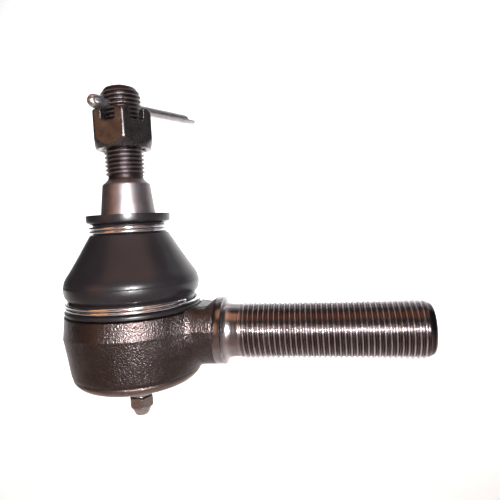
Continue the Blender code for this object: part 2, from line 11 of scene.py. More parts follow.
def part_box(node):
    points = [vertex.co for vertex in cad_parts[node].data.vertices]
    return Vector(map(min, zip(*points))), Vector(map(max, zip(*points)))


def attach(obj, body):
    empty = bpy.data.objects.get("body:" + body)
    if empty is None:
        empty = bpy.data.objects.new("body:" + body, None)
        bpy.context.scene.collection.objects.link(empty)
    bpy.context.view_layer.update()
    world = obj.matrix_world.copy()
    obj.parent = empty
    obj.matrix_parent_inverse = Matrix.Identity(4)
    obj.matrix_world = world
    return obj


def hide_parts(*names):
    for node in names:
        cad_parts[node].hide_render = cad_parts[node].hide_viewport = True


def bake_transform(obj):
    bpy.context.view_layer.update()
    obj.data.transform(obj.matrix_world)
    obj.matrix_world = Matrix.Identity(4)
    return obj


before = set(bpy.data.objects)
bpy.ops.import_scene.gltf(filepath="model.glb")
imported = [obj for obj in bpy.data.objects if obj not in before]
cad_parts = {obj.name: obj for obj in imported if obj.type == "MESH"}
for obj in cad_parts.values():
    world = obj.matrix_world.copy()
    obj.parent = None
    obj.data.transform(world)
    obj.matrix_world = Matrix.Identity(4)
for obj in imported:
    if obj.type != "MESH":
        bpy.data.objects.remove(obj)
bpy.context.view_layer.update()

MM = 0.001
ROUND = 96  # segments round a turned piece


def node_box(name):
    """A CAD node's box in mm."""
    low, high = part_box(name)
    return low / MM, high / MM


HOUSING_LOW, HOUSING_HIGH = node_box("socket_housing")
STUD_LOW, STUD_HIGH = node_box("ball_stud")
NUT_LOW, NUT_HIGH = node_box("castle_nut")
BOOT_LOW, BOOT_HIGH = node_box("dust_boot")
LOWER_RING_LOW, LOWER_RING_HIGH = node_box("boot_lower_ring")
UPPER_RING_LOW, UPPER_RING_HIGH = node_box("boot_upper_ring")
PIN_LOW, PIN_HIGH = node_box("cotter_pin")
COVER_LOW = node_box("end_cover")[0]
NIPPLE_LOW, NIPPLE_HIGH = node_box("grease_nipple")

# Forging, in mm
SOCKET_R = -HOUSING_LOW.x
MOUTH_Z = 12.6
RIM_Z = HOUSING_LOW.z
SHANK_END_X = HOUSING_HIGH.x
SHOULDER_Z = 7.2
SHOULDER_R = 20.6
FOOT_Z = -11.2
FOOT_R = 19.75
RIM_ROUND = 3.4
BOOT_SEAT_R = 17.6
BOOT_ROOM_R = 21.0
BORE_R = 15.2
BORE_FOOT_Z = -10.5
BORE_TOP_Z = 7.0
LIP_ROOM_R = 16.2
LIP_ROOM_Z = (-12.9, -10.4)
RIM_HOLE_R = 14.2
NECK_R = 10.1
NECK_HALF_WIDTH = 10.6
NECK_FLAT_Z = 8.0
NECK_FLAT_END_X = 24.4
NECK_START_X = 2.0
NECK_FILLET = 2.4
WEB_START_X = 12.0
WEB_END_X = 24.2
MACHINED_X = 27.0
COLLAR_X = 28.8
PARTING_RISE = 2.0
FLASH_HEIGHT = 0.10
FLASH_WIDTH = 0.4
RIM_CREASE_Z = -11.5
RIM_CREASE_R = 0.45
FORGED_LUMP = 0.03
FORGING_STEP = 0.3
FAR = 50.0  # a field's value well outside

# Shank, in mm
SHANK_PITCH = 1.5
SHANK_CREST_R = 8.5
SHANK_BODY_R = 7.95
SHANK_THREAD_X = 33.2
SHANK_THREAD_FULL_X = 36.0
SHANK_THREAD_END_X = SHANK_END_X - 0.35
SHANK_THREAD_DEPTH = 0.8
SHANK_CHAMFER_X = SHANK_END_X - 2.6
SHANK_CHAMFER_R = 7.25

# Ball stud, in mm
BALL_R = STUD_HIGH.x
STUD_TOP_Z = STUD_HIGH.z
STUD_PITCH = 1.25
STUD_CREST_R = 5.95
STUD_THREAD_DEPTH = 0.78
STUD_THREAD_Z = 47.9
STUD_CHAMFER_Z = 72.3
STUD_RELIEF_R = 5.3
STUD_FOOT_R = STUD_RELIEF_R - 0.15
STUD_NECK_R = 6.0
STUD_NECK_Z = (11.6, 19.0)
STUD_CROWN = 1.45
STUD_THREAD_TOP_Z = STUD_TOP_Z - STUD_CROWN
TAPER_FOOT_R, TAPER_FOOT_Z = 9.05, 29.0
TAPER_TOP_R, TAPER_TOP_Z = 7.1, 45.6

# Castle nut, in mm
NUT_FLATS = 16.6
NUT_TURN = math.radians(-63.5)
NUT_HEIGHT = NUT_HIGH.z - NUT_LOW.z
NUT_BORE_R = 6.12
NUT_THREAD_DEPTH = 0.55
NUT_SLOT_HALF = 2.1
NUT_SLOT_DEPTH = 3.6
NUT_STEP = 0.2

# Cotter pin, in mm
PIN_TURN = math.radians(61.0)
PIN_R = 1.42
PIN_Z = (PIN_LOW.z + PIN_HIGH.z) / 2
PIN_HOLE_R = 1.8
PIN_GAP = 0.08  # half the space between the legs
PIN_EYE_R = 0.65
PIN_EYE_X = -9.05
PIN_EYE_START_X = -6.1
PIN_LONG_LEG = 30.0
PIN_SHORT_LEG = 26.8

# Boot and its rings, in mm
BOOT_SPLIT_Z = 17.5
RING_WIRE_R = 0.5
RING_PITCH = 1.08

# End cover and grease nipple, in mm
COVER_WALL = 2.0
NIPPLE_FLATS = 6.9
NIPPLE_HEX_Z = (-24.2, -20.85)
NIPPLE_STEM_R = 2.68
NIPPLE_STEM_Z = (-24.0, -16.85)
NIPPLE_STEP = 0.13

# Camera and floor, in metres
CAMERA_PLACE = (0.0590, -0.1248, 0.0330)
CAMERA_YAW = math.radians(-9.80)
CAMERA_PITCH = math.radians(4.08)
CAMERA_ROLL = math.radians(-2.86)
CAMERA_LENS = 30.86
LIGHT_AIM = Vector((0.015, 0, 0.02))
FLOOR_Z = -0.11
FLOOR_REACH = 3.0
SWEEP_START_Y = 1.2
SWEEP_R = 0.8


# Small node and mesh helpers


def add_node(tree, kind, settings=None, **inputs):
    """A node with its settings and inputs. An input called n0, n1 and so on is taken by its number."""
    made = tree.nodes.new(kind)
    for name, value in (settings or {}).items():
        setattr(made, name, value)
    for name, value in inputs.items():
        socket = made.inputs[int(name[1:])] if name[0] == "n" and name[1:].isdigit() else made.inputs[name]
        if isinstance(value, bpy.types.NodeSocket):
            tree.links.new(value, socket)
        else:
            socket.default_value = value
    return made


def ramp(tree, factor, stops):
    """A colour ramp from (position, colour) stops, where a grey is one number."""
    made = tree.nodes.new("ShaderNodeValToRGB")
    tree.links.new(factor, made.inputs[0])
    elements = made.color_ramp.elements
    while len(elements) < len(stops):
        elements.new(0.5)
    for element, (position, colour) in zip(elements, stops):
        element.position = position
        element.color = (colour, colour, colour, 1) if isinstance(colour, (int, float)) else (*colour, 1)
    return made.outputs[0]


def noise_at(tree, coords, scale, detail=3.0, roughness=0.55, stretch=None):
    """Noise over the object's own coordinates, scale in features per metre."""
    if stretch:
        coords = add_node(tree, "ShaderNodeMapping", Vector=coords, Scale=stretch).outputs[0]
    sockets = {"Vector": coords, "Scale": scale, "Detail": detail, "Roughness": roughness}
    return add_node(tree, "ShaderNodeTexNoise", **sockets).outputs["Fac"]


def bump(tree, height, strength, distance, normal=None):
    made = add_node(tree, "ShaderNodeBump", Height=height, Strength=strength, Distance=distance)
    if normal is not None:
        tree.links.new(normal, made.inputs["Normal"])
    return made.outputs[0]


def surface(name, metallic=1.0, roughness=0.4, **sockets):
    """A new material, its tree, its shader and its object coordinates."""
    made = bpy.data.materials.new(name)
    made.use_nodes = True
    tree = made.node_tree
    shader = tree.nodes["Principled BSDF"]
    shader.inputs["Metallic"].default_value = metallic
    shader.inputs["Roughness"].default_value = roughness
    for socket, value in sockets.items():
        shader.inputs[socket.replace("_", " ")].default_value = value
    coords = tree.nodes.new("ShaderNodeTexCoord").outputs["Object"]
    return made, tree, shader, coords


def link_surface(tree, shader, colour, rough=None, normal=None):
    for name, output in (("Base Color", colour), ("Roughness", rough), ("Normal", normal)):
        if output is not None:
            tree.links.new(output, shader.inputs[name])


def mixed(tree, factor, first, second):
    made = add_node(tree, "ShaderNodeMix", {"data_type": "RGBA"})
    tree.links.new(factor, made.inputs[0])
    for socket, value in ((made.inputs[6], first), (made.inputs[7], second)):
        if isinstance(value, bpy.types.NodeSocket):
            tree.links.new(value, socket)
        else:
            socket.default_value = (*value, 1)
    return made.outputs[2]


# Materials


def forged_steel():
    """Shot-blasted forging: fine pits and grains, a smoother rim, and faint brown oxide in patches."""
    made, tree, shader, coords = surface("forged_steel", 1.0)
    patches = noise_at(tree, coords, 160, 3)
    grain = noise_at(tree, coords, 1500, 3, 0.65)
    tone = ramp(tree, patches, ((0.30, (0.050, 0.037, 0.034)), (0.72, (0.070, 0.061, 0.062))))
    dark = mixed(tree, ramp(tree, grain, ((0.34, 0.6), (0.50, 0.0))), tone, (0.040, 0.030, 0.027))
    height = add_node(tree, "ShaderNodeSeparateXYZ", Vector=coords).outputs["Z"]
    rim = add_node(
        tree,
        "ShaderNodeMapRange",
        n0=height,
        n1=(RIM_CREASE_Z - 0.4) * MM,
        n2=(RIM_CREASE_Z + 0.1) * MM,
    ).outputs[0]
    colour = mixed(tree, rim, (0.13, 0.098, 0.088), dark)
    rough = ramp(tree, grain, ((0.3, 0.44), (0.7, 0.30)))
    cells = add_node(tree, "ShaderNodeTexVoronoi", {"feature": "SMOOTH_F1"}, Vector=coords, Scale=2600.0)
    pits = add_node(tree, "ShaderNodeMath", {"operation": "MULTIPLY"}, n0=cells.outputs[0], n1=rim).outputs[0]
    first = bump(tree, pits, 0.8, 0.00019)
    second = bump(tree, grain, 0.5, 0.00009, first)
    link_surface(tree, shader, colour, rough, second)
    return made


def radius_tone(tree, coords, axis, end, root, crest, stops):
    """A tone by the distance from an axis, between root and crest in mm, used to paint shade into a thread's
    roots. Past end on the axis the tone is full, with no painted shade.
    """
    off_axis = [0 if name == axis else 1 for name in "XYZ"]
    multiply = {"operation": "MULTIPLY"}
    flat = add_node(tree, "ShaderNodeVectorMath", multiply, n0=coords, n1=off_axis).outputs[0]
    radius = add_node(tree, "ShaderNodeVectorMath", {"operation": "LENGTH"}, n0=flat).outputs["Value"]
    depth = add_node(tree, "ShaderNodeMapRange", n0=radius, n1=root * MM, n2=crest * MM).outputs[0]
    along = add_node(tree, "ShaderNodeSeparateXYZ", Vector=coords).outputs[axis]
    past = add_node(tree, "ShaderNodeMapRange", n0=along, n1=(end - 0.3) * MM, n2=end * MM).outputs[0]
    shade = ramp(tree, depth, stops)
    return add_node(tree, "ShaderNodeMath", {"operation": "MAXIMUM"}, n0=shade, n1=past).outputs[0]


def machined_steel():
    """Turned steel: painted shade in the roots of the thread, a collar darker than the crests, fine tool
    rings.
    """
    made, tree, shader, coords = surface("machined_steel", 1.0)
    rings = noise_at(tree, coords, 60, 3, 0.5, (60, 1, 1))
    stain = noise_at(tree, coords, 260, 4)
    colour = ramp(tree, stain, ((0.32, (0.36, 0.325, 0.33)), (0.70, (0.50, 0.465, 0.480))))
    stops = ((0.0, 0.02), (0.10, 0.25), (0.25, 0.95), (0.36, 1.0), (0.6, 0.5), (1.0, 0.4))
    # Painted shade: the colour goes to near-black in the thread's roots, and the collar is darker than the
    # crests
    clear = radius_tone(tree, coords, "X", SHANK_END_X - 0.3, 7.6, NECK_R, stops)
    radius_shaded = mixed(tree, clear, (0.045, 0.034, 0.034), colour)
    rough = ramp(tree, rings, ((0.3, 0.19), (0.7, 0.27)))
    link_surface(tree, shader, radius_shaded, rough, bump(tree, rings, 0.08, 0.00002))
    return made


def ground_steel():
    """The stud: a ground taper with fine rings round Z, and a rolled thread with painted shade in its roots.
    """
    made, tree, shader, coords = surface("ground_steel", 1.0)
    rings = noise_at(tree, coords, 60, 4, 0.6, (1, 1, 70))
    grain = noise_at(tree, coords, 2200, 2, 0.6)
    stain = noise_at(tree, coords, 260, 3)
    colour = ramp(tree, stain, ((0.30, (0.165, 0.142, 0.143)), (0.72, (0.225, 0.203, 0.210))))
    stops = ((0.0, 0.0), (0.4, 0.2), (1.0, 1.0))
    # Painted shade: the colour goes to near-black in the thread's roots
    clear = radius_tone(tree, coords, "Z", STUD_THREAD_TOP_Z, 5.1, STUD_CREST_R, stops)
    radius_shaded = mixed(tree, clear, (0.030, 0.022, 0.022), colour)
    rough = ramp(tree, grain, ((0.3, 0.36), (0.7, 0.50)))
    first = bump(tree, rings, 0.2, 0.00004)
    link_surface(tree, shader, radius_shaded, rough, bump(tree, grain, 0.3, 0.00004, first))
    return made


def black_oxide():
    """The nut's oxide skin: mottled, lighter in places, and worn to an uneven sheen."""
    made, tree, shader, coords = surface("black_oxide", 0.9)
    mottled = noise_at(tree, coords, 420, 4)
    wear = noise_at(tree, coords, 1500, 3, 0.65)
    stops = ((0.30, (0.040, 0.035, 0.035)), (0.62, (0.065, 0.058, 0.058)), (0.8, (0.10, 0.085, 0.085)))
    rough = ramp(tree, wear, ((0.3, 0.22), (0.75, 0.38)))
    link_surface(tree, shader, ramp(tree, mottled, stops), rough, bump(tree, wear, 0.25, 0.00006))
    return made


def bright_metal(name, low, high, rough_low, rough_high, grain_scale, grain_bump=0.1):
    """Plain metal whose colour and roughness both run from low to high with one fine grain."""
    made, tree, shader, coords = surface(name, 1.0)
    grain = noise_at(tree, coords, grain_scale, 3, 0.6)
    colour = ramp(tree, grain, ((0.3, low), (0.7, high)))
    rough = ramp(tree, grain, ((0.3, rough_low), (0.7, rough_high)))
    link_surface(tree, shader, colour, rough, bump(tree, grain, grain_bump, 0.00004))
    return made


def black_rubber():
    """Moulded rubber: a satin skin with faint flow marks, specks and slightly dusty patches."""
    made, tree, shader, coords = surface("black_rubber", 0.0, IOR=1.38)
    skin = noise_at(tree, coords, 900, 4, 0.6)
    patches = noise_at(tree, coords, 110, 3)
    colour = ramp(tree, patches, ((0.20, (0.006, 0.005, 0.006)), (0.85, (0.009, 0.008, 0.009))))
    rough = ramp(tree, patches, ((0.2, 0.27), (0.8, 0.33)))
    specks = ramp(tree, noise_at(tree, coords, 2600, 2, 0.7), ((0.66, 0.0), (0.74, 1.0)))
    first = bump(tree, skin, 0.18, 0.00012)
    link_surface(tree, shader, colour, rough, bump(tree, specks, 0.25, 0.00005, first))
    return made


def seat_nylon():
    made, tree, shader, coords = surface("seat_nylon", 0.0, 0.45)
    flow = noise_at(tree, coords, 300, 3)
    colour = ramp(tree, flow, ((0.3, (0.62, 0.60, 0.52)), (0.7, (0.74, 0.72, 0.65))))
    link_surface(tree, shader, colour, normal=bump(tree, flow, 0.15, 0.0001))
    return made


# Mesh building


def add_piece(name, bm, material, sharp_deg=32):
    """An object of a bmesh, shaded smooth but for edges over an angle. The bmesh is freed."""
    bmesh.ops.recalc_face_normals(bm, faces=bm.faces)
    mesh = bpy.data.meshes.new(name)
    bm.to_mesh(mesh)
    bm.free()
    obj = bpy.data.objects.new(name, mesh)
    bpy.context.scene.collection.objects.link(obj)
    mesh.materials.append(material)
    mesh.shade_smooth()
    mesh.set_sharp_from_angle(angle=math.radians(sharp_deg))
    return obj


def bridge(bm, first, second):
    """Quads between two rings of vertices, or a fan where one of them is a single vertex."""
    count = max(len(first), len(second))
    for i in range(count):
        j = (i + 1) % count
        corners = [ring[k % len(ring)] for ring, k in ((first, i), (first, j), (second, j), (second, i))]
        distinct = list(dict.fromkeys(corners))
        if len(distinct) > 2:
            bm.faces.new(distinct)


def along_axis(u, v, along, axis):
    """A point in mm, u and v off the axis, as metres in the frame."""
    return Vector((u, v, along)) * MM if axis == "Z" else Vector((along, u, v)) * MM


def ring_points(radius, along, axis, segments=ROUND):
    """A ring of points round an axis, or the one point on the axis itself."""
    if radius < 1e-6:
        return [along_axis(0, 0, along, axis)]
    angles = [2 * math.pi * i / segments for i in range(segments)]
    return [along_axis(radius * math.cos(a), radius * math.sin(a), along, axis) for a in angles]


def revolve(bm, outline, axis="Z", closed=False, segments=ROUND):
    """Adds the turned surface of (radius, along) points in mm."""
    rows = [[bm.verts.new(p) for p in ring_points(r, h, axis, segments)] for r, h in outline]
    pairs = list(zip(rows, rows[1:]))
    if closed:
        pairs.append((rows[-1], rows[0]))
    for first, second in pairs:
        bridge(bm, first, second)


def rounded(points, steps=4):
    """An outline in which each (r, h, size) corner is eased over that size, and (r, h) stays sharp."""
    out = []
    for i, point in enumerate(points):
        here = Vector(point[:2])
        size = point[2] if len(point) > 2 else 0.0
        if size == 0.0:
            out.append(tuple(here))
            continue
        before = Vector(points[i - 1][:2]) - here
        after = Vector(points[(i + 1) % len(points)][:2]) - here
        start = here + before.normalized() * min(size, before.length * 0.48)
        end = here + after.normalized() * min(size, after.length * 0.48)
        for k in range(steps + 1):
            t = k / steps
            out.append(tuple((1 - t) ** 2 * start + 2 * t * (1 - t) * here + t * t * end))
    return out


def smooth_line(points, per_span=6):
    """A curve through (r, h) points."""
    pts = [Vector(p) for p in points]
    pts = [2 * pts[0] - pts[1], *pts, 2 * pts[-1] - pts[-2]]
    out = []
    for a, b, c, d in zip(pts, pts[1:], pts[2:], pts[3:]):
        slope = c - a
        square = 2 * a - 5 * b + 4 * c - d
        cube = 3 * b - a - 3 * c + d
        for k in range(per_span):
            t = k / per_span
            out.append(tuple(0.5 * (2 * b + slope * t + square * t**2 + cube * t**3)))
    out.append(tuple(pts[-2]))
    return out


# The parts of a thread's turn at which its profile has a point
THREAD_PHASES = (0.0, 0.06, 0.13, 0.24, 0.34, 0.42, 0.5, 0.58, 0.66, 0.76, 0.87, 0.94)


def thread_depth(phase):
    """How deep a thread is at a part of its turn: 0 on the crest, where it begins, and 1 in the root."""
    flank = min(max((0.45 - abs(phase - 0.5)) / 0.33, 0.0), 1.0)
    return 0.75 * flank + 0.25 * flank * flank * (3 - 2 * flank)


def threaded(bm, start, end, pitch, radius_at, axis, segments=ROUND):
    """Adds a helical thread. radius_at gives the radius for a place along the axis and a depth of thread."""
    columns = []
    turns = math.ceil((end - start) / pitch) + 1
    for j in range(segments + 1):
        lead = j / segments
        a = 2 * math.pi * lead
        column = []
        for turn in range(-1, turns):
            for phase in THREAD_PHASES:
                h = min(max(start + (turn + phase + lead) * pitch, start), end)
                r = radius_at(h, thread_depth(phase))
                column.append(bm.verts.new(along_axis(r * math.cos(a), r * math.sin(a), h, axis)))
        columns.append(column)
    for first, second in zip(columns, columns[1:]):
        for i in range(len(first) - 1):
            bm.faces.new((first[i], second[i], second[i + 1], first[i + 1]))


def clean(bm):
    """Welds points that meet, then drops faces without area and points without faces."""
    bmesh.ops.remove_doubles(bm, verts=bm.verts, dist=2e-7)
    bmesh.ops.dissolve_degenerate(bm, dist=2e-7, edges=bm.edges)
    loose = [v for v in bm.verts if not v.link_faces]
    bmesh.ops.delete(bm, geom=loose, context="VERTS")


def eased(t):
    """A smooth step from 0 to 1."""
    t = min(max(t, 0.0), 1.0)
    return t * t * (3 - 2 * t)


def tube(bm, path, sections, cap_round=0.0):
    """Joins section rings along a path. A rounded cap is two more, smaller rings at each end."""
    rows = [[bm.verts.new(p) for p in section] for section in sections]
    for first, second in zip(rows, rows[1:]):
        bridge(bm, first, second)
    for row, inward in ((rows[0], path[0] - path[1]), (rows[-1], path[-1] - path[-2])):
        if cap_round == 0.0:
            bm.faces.new(row)
            continue
        centre = sum((v.co for v in row), Vector()) / len(row)
        size = (row[0].co - centre).length
        push = inward.normalized() * cap_round
        cap = [bm.verts.new(centre + push + (v.co - centre) * (1 - cap_round / size)) for v in row]
        bridge(bm, row, cap)
        bm.faces.new(cap)


def wire_sections(path, radius, sides):
    """Round sections square to a path that winds about the Z axis."""
    sections = []
    for i, here in enumerate(path):
        ahead = (path[min(i + 1, len(path) - 1)] - path[max(i - 1, 0)]).normalized()
        outward = Vector((here.x, here.y, 0)).normalized()
        outward = (outward - outward.dot(ahead) * ahead).normalized()
        upward = ahead.cross(outward)
        angles = [2 * math.pi * k / sides for k in range(sides)]
        sections.append([here + radius * (math.cos(a) * outward + math.sin(a) * upward) for a in angles])
    return sections


# Implicit forms: a field is a distance in mm, negative inside


def meet(a, b, radius):
    """The common volume of two fields, its outer edge rounded."""
    edge = np.hypot(np.maximum(a + radius, 0), np.maximum(b + radius, 0))
    return np.minimum(-radius, np.maximum(a, b)) + edge


def join(a, b, radius):
    """Two fields together, with a fillet where they meet."""
    fillet = np.hypot(np.maximum(radius - a, 0), np.maximum(radius - b, 0))
    return np.maximum(radius, np.minimum(a, b)) - fillet


def cut(a, b, radius):
    """The first field less the second, the edge between them rounded."""
    return meet(a, -b, radius)


def net_mesh(field, low, high, step):
    """A field's surface: a vertex in each grid cell that it crosses, a quad round each edge it crosses."""
    axes = [np.arange(l, h + step, step) for l, h in zip(low, high)]
    grid = np.meshgrid(*axes, indexing="ij")
    values = field(*grid)
    inside = values < 0
    cells = tuple(n - 1 for n in values.shape)
    total = np.zeros((*cells, 3))
    count = np.zeros(cells)
    crossings = []
    for axis in range(3):
        near = [slice(None)] * 3
        far = [slice(None)] * 3
        near[axis], far[axis] = slice(None, -1), slice(1, None)
        near, far = tuple(near), tuple(far)
        crossed = inside[near] != inside[far]
        gap = np.where(crossed, values[near] - values[far], 1.0)
        part = np.where(crossed, values[near] / gap, 0.0)
        point = np.stack([g[near] for g in grid], axis=-1)
        point[..., axis] += part * step
        point *= crossed[..., None]
        others = [k for k in range(3) if k != axis]
        for shift in ((0, 0), (0, 1), (1, 0), (1, 1)):
            taken = [slice(None)] * 3
            for k, s in zip(others, shift):
                taken[k] = slice(s, s + cells[k])
            total += point[tuple(taken)]
            count += crossed[tuple(taken)]
        crossings.append((crossed, inside[near], others))
    used = count > 0
    index = np.full(cells, -1)
    index[used] = np.arange(used.sum())
    points = total[used] / count[used][:, None]
    quads = []
    for axis, (crossed, first_inside, others) in enumerate(crossings):
        where = np.argwhere(crossed)
        for k in others:
            where = where[(where[:, k] > 0) & (where[:, k] < cells[k])]
        ring = []
        for shift in ((1, 1), (0, 1), (0, 0), (1, 0)):
            cell = where.copy()
            for k, s in zip(others, shift):
                cell[:, k] -= s
            ring.append(index[tuple(cell.T)])
        quad = np.stack(ring, axis=1)
        flip = first_inside[tuple(where.T)] == (axis == 1)
        quad[flip] = quad[flip][:, ::-1]
        quads.append(quad)
    return points, np.concatenate(quads)


def net_piece(name, points, quads, material, sharp_deg=50, transform=None):
    mesh = bpy.data.meshes.new("net")
    mesh.from_pydata((points * MM).tolist(), [], quads.tolist())
    if transform:
        mesh.transform(transform)
    bm = bmesh.new()
    bm.from_mesh(mesh)
    bpy.data.meshes.remove(mesh)
    return add_piece(name, bm, material, sharp_deg)


def hexagon_field(x, y, flats, corner):
    """A hexagonal bar with corners at 0, 60 and 120 degrees."""
    field = None
    for turn in (30, 90, 150):
        a = math.radians(turn)
        side = np.abs(x * math.cos(a) + y * math.sin(a)) - flats / 2
        field = side if field is None else meet(field, side, corner)
    return field


# The pieces


def forged_outside(x, y, z):
    """Socket and neck before machining: drafted each way from the parting line, filleted where they meet."""
    rho = np.hypot(x, y)
    parting = PARTING_RISE * np.clip((x + SOCKET_R) / 14.0, 0.0, 1.0)
    above = SOCKET_R - (z - parting) * (SOCKET_R - SHOULDER_R) / (SHOULDER_Z - parting)
    below = SOCKET_R - (parting - z) * (SOCKET_R - FOOT_R) / (parting - FOOT_Z)
    wall = np.where(z > parting, above, below)
    flash = FLASH_HEIGHT * np.exp(-(((z - parting) / FLASH_WIDTH) ** 2))
    socket = meet(rho - wall - flash, RIM_Z - z, RIM_ROUND)
    socket = meet(socket, z - SHOULDER_Z, 0.3)
    sag = (NECK_HALF_WIDTH**2 - NECK_R**2) / (2 * NECK_R)
    from_parting = z - parting
    stretch = np.where(from_parting > 0, NECK_R / (NECK_R - parting), NECK_R / (NECK_R + parting))
    bar = np.hypot(y, np.abs(from_parting) * stretch + sag) - (NECK_R + sag) - flash
    bar = meet(bar, np.maximum(x - MACHINED_X, NECK_START_X - x), 0.15)
    ramp_top = np.minimum(z - NECK_FLAT_Z, (z - NECK_FLAT_Z - (x - NECK_FLAT_END_X)) / math.sqrt(2))
    bar = meet(bar, ramp_top, 0.35)
    web = np.hypot(y, z) - np.interp(x, (WEB_START_X, 18.6, 20.6, WEB_END_X), (13.6, 11.4, 10.2, 9.0))
    web = np.maximum(web, np.maximum(np.maximum(x - WEB_END_X, WEB_START_X - x), ramp_top))
    bar = join(bar, web, 1.0)
    return join(socket, bar, NECK_FILLET)


def forging_field(x, y, z):
    """The forging as machined: boot seat, mouth, bore, room under the rolled lip, and the rim's crease."""
    rho = np.hypot(x, y)
    body = forged_outside(x, y, z)
    seat = np.maximum(BOOT_SEAT_R - rho, np.maximum(rho - BOOT_ROOM_R, SHOULDER_Z - z))
    body = np.maximum(body, -seat)
    tower = np.maximum(rho - BOOT_SEAT_R, np.maximum(z - MOUTH_Z, -z))
    body = np.minimum(body, tower)
    mouth = rho - np.interp(z, (BORE_TOP_Z, MOUTH_Z + 1), (11.3, 14.9))
    mouth = mouth + np.where(z < BORE_TOP_Z - 0.1, FAR, 0.0)
    bore = np.maximum(rho - BORE_R, np.maximum(z - BORE_TOP_Z, BORE_FOOT_Z - z))
    lip_room = np.maximum(rho - LIP_ROOM_R, np.maximum(z - LIP_ROOM_Z[1], LIP_ROOM_Z[0] - z))
    hole = np.maximum(rho - RIM_HOLE_R, z)
    cavity = np.minimum(np.minimum(mouth, bore), np.minimum(lip_room, hole))
    body = cut(body, cavity, 0.3)
    crease = np.hypot(rho - FOOT_R, z - RIM_CREASE_Z) - RIM_CREASE_R
    return cut(body, crease, 0.25)


def make_forging(material):
    """The forging as a net, with low lumps on the surfaces that were left as forged."""
    low = (-SOCKET_R - 1.2, -SOCKET_R - 1.2, RIM_Z - 1.2)
    high = (MACHINED_X + 1.2, SOCKET_R + 1.2, MOUTH_Z + 1.2)
    points, quads = net_mesh(forging_field, low, high, FORGING_STEP)
    obj = net_piece("forged_body", points, quads, material)
    outside = forged_outside(*points.T)
    raw = (np.abs(outside) < 0.12) & (points[:, 2] < SHOULDER_Z - 0.4) & (points[:, 2] > RIM_CREASE_Z + 0.7)
    raw |= (np.abs(outside) < 0.12) & (points[:, 0] > SOCKET_R) & (points[:, 0] < MACHINED_X - 0.5)
    normals = np.empty(len(points) * 3)
    obj.data.vertices.foreach_get("normal", normals)
    normals = normals.reshape(-1, 3)
    moved = points * MM
    for i in np.flatnonzero(raw):
        place = Vector(moved[i])
        lump = noise.noise(place * 300) * FORGED_LUMP + noise.noise(place * 1200) * FORGED_LUMP
        moved[i] += normals[i] * lump * MM
    obj.data.vertices.foreach_set("co", moved.ravel())
    obj.data.update()
    return obj


def make_shank(material):
    """Machined collar, relief, thread and end chamfer, turned round X."""
    bm = bmesh.new()
    collar_r = NECK_R - 0.03
    outline = [
        (0.0, MACHINED_X - 0.6),
        (collar_r - 0.3, MACHINED_X - 0.6),
        (collar_r, MACHINED_X - 0.25),
        (collar_r, COLLAR_X),
    ]
    for i in range(9):
        a = math.pi / 2 * i / 8
        radius = collar_r - (collar_r - SHANK_BODY_R) * math.sin(a)
        outline.append((radius, COLLAR_X + 0.25 + 3.0 * (1 - math.cos(a))))
    revolve(bm, [*outline, (SHANK_BODY_R, SHANK_THREAD_X)], "X")

    def radius_at(h, depth):
        begun = eased((h - SHANK_THREAD_X) / (SHANK_THREAD_FULL_X - SHANK_THREAD_X))
        crest = SHANK_BODY_R + (SHANK_CREST_R - SHANK_BODY_R) * begun
        root = SHANK_BODY_R - (SHANK_THREAD_DEPTH + SHANK_BODY_R - SHANK_CREST_R) * begun
        thread = crest + (root - crest) * depth
        part = (SHANK_THREAD_END_X - h) / (SHANK_END_X - SHANK_CHAMFER_X)
        return min(thread, SHANK_CHAMFER_R + (SHANK_CREST_R - SHANK_CHAMFER_R) * part)

    end = SHANK_THREAD_END_X
    threaded(bm, SHANK_THREAD_X, end, SHANK_PITCH, radius_at, "X")
    edge = radius_at(end, 0.0)
    revolve(bm, [(edge, end), (edge - 0.08, end + 0.16), (edge - 0.3, SHANK_END_X), (0.0, SHANK_END_X)], "X")
    clean(bm)
    return add_piece("threaded_shank", bm, material, 60)


def drill_out(obj, cutter):
    """Cuts with a Boolean, applies it and removes the cutter."""
    modifier = obj.modifiers.new("drill", "BOOLEAN")
    modifier.operation = "DIFFERENCE"
    modifier.solver = "EXACT"
    modifier.object = cutter
    graph = bpy.context.evaluated_depsgraph_get()
    cut_mesh = bpy.data.meshes.new_from_object(obj.evaluated_get(graph))
    obj.modifiers.clear()
    obj.data = cut_mesh
    bpy.data.objects.remove(cutter, do_unlink=True)


def stud_outline():
    """The stud from its ball up to its thread: ball, neck, flare, taper and relief."""
    outline = [(0.0, STUD_LOW.z)]
    first = math.asin(STUD_LOW.z / BALL_R)
    last = math.acos(6.6 / BALL_R)
    for i in range(29):
        a = first + (last - first) * i / 28
        outline.append((BALL_R * math.cos(a), BALL_R * math.sin(a)))
    outline += [(STUD_NECK_R + 0.12, 10.7), (STUD_NECK_R, STUD_NECK_Z[0])]
    for i in range(9):
        t = i / 8
        radius = STUD_NECK_R + (TAPER_FOOT_R - STUD_NECK_R) * eased(t)
        outline.append((radius, STUD_NECK_Z[1] + (TAPER_FOOT_Z - STUD_NECK_Z[1]) * t))
    outline += rounded(
        [
            (TAPER_FOOT_R, TAPER_FOOT_Z),
            (TAPER_TOP_R, TAPER_TOP_Z - 0.1, 0.35),
            (6.3, TAPER_TOP_Z + 0.5, 0.4),
            (STUD_RELIEF_R, TAPER_TOP_Z + 1.5, 0.4),
            (STUD_FOOT_R, STUD_THREAD_Z),
        ]
    )[1:]
    return outline


